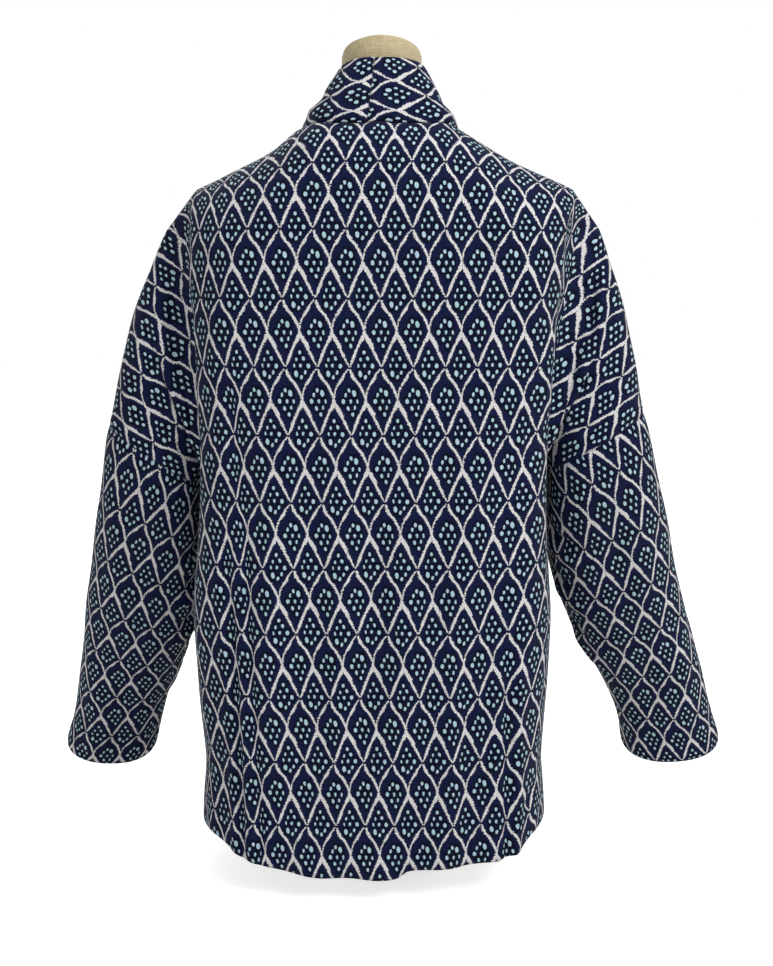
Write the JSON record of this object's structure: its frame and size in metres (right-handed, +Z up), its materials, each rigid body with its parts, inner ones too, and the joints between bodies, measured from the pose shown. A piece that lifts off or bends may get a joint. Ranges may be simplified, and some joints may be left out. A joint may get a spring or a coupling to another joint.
{
  "type": "kimono jacket on a dress form",
  "caption": "Hip length kimono jacket with dropped shoulders and a long collar band, hanging open on a limbless linen dress form with a short stem and a round base.",
  "frame": {"origin": "centre of the base's underside, on the floor", "axes": "+Z up along the dress form, front of the jacket towards -Y, +X towards the wearer's left side"},
  "size_m": [0.8186, 0.3768, 0.8886],
  "materials": {
    "jacket_cloth": "matt",
    "linen": "matt",
    "painted_metal": "satin"
  },
  "bodies": {
    "root": {"back": "jacket_cloth", "front_left": "jacket_cloth", "front_right": "jacket_cloth", "sleeve_left": "jacket_cloth", "sleeve_right": "jacket_cloth", "collar_left": "jacket_cloth", "collar_right": "jacket_cloth", "dress_form": "linen", "stand_stem": "painted_metal", "stand_base": "painted_metal"}
  },
  "joints": []
}
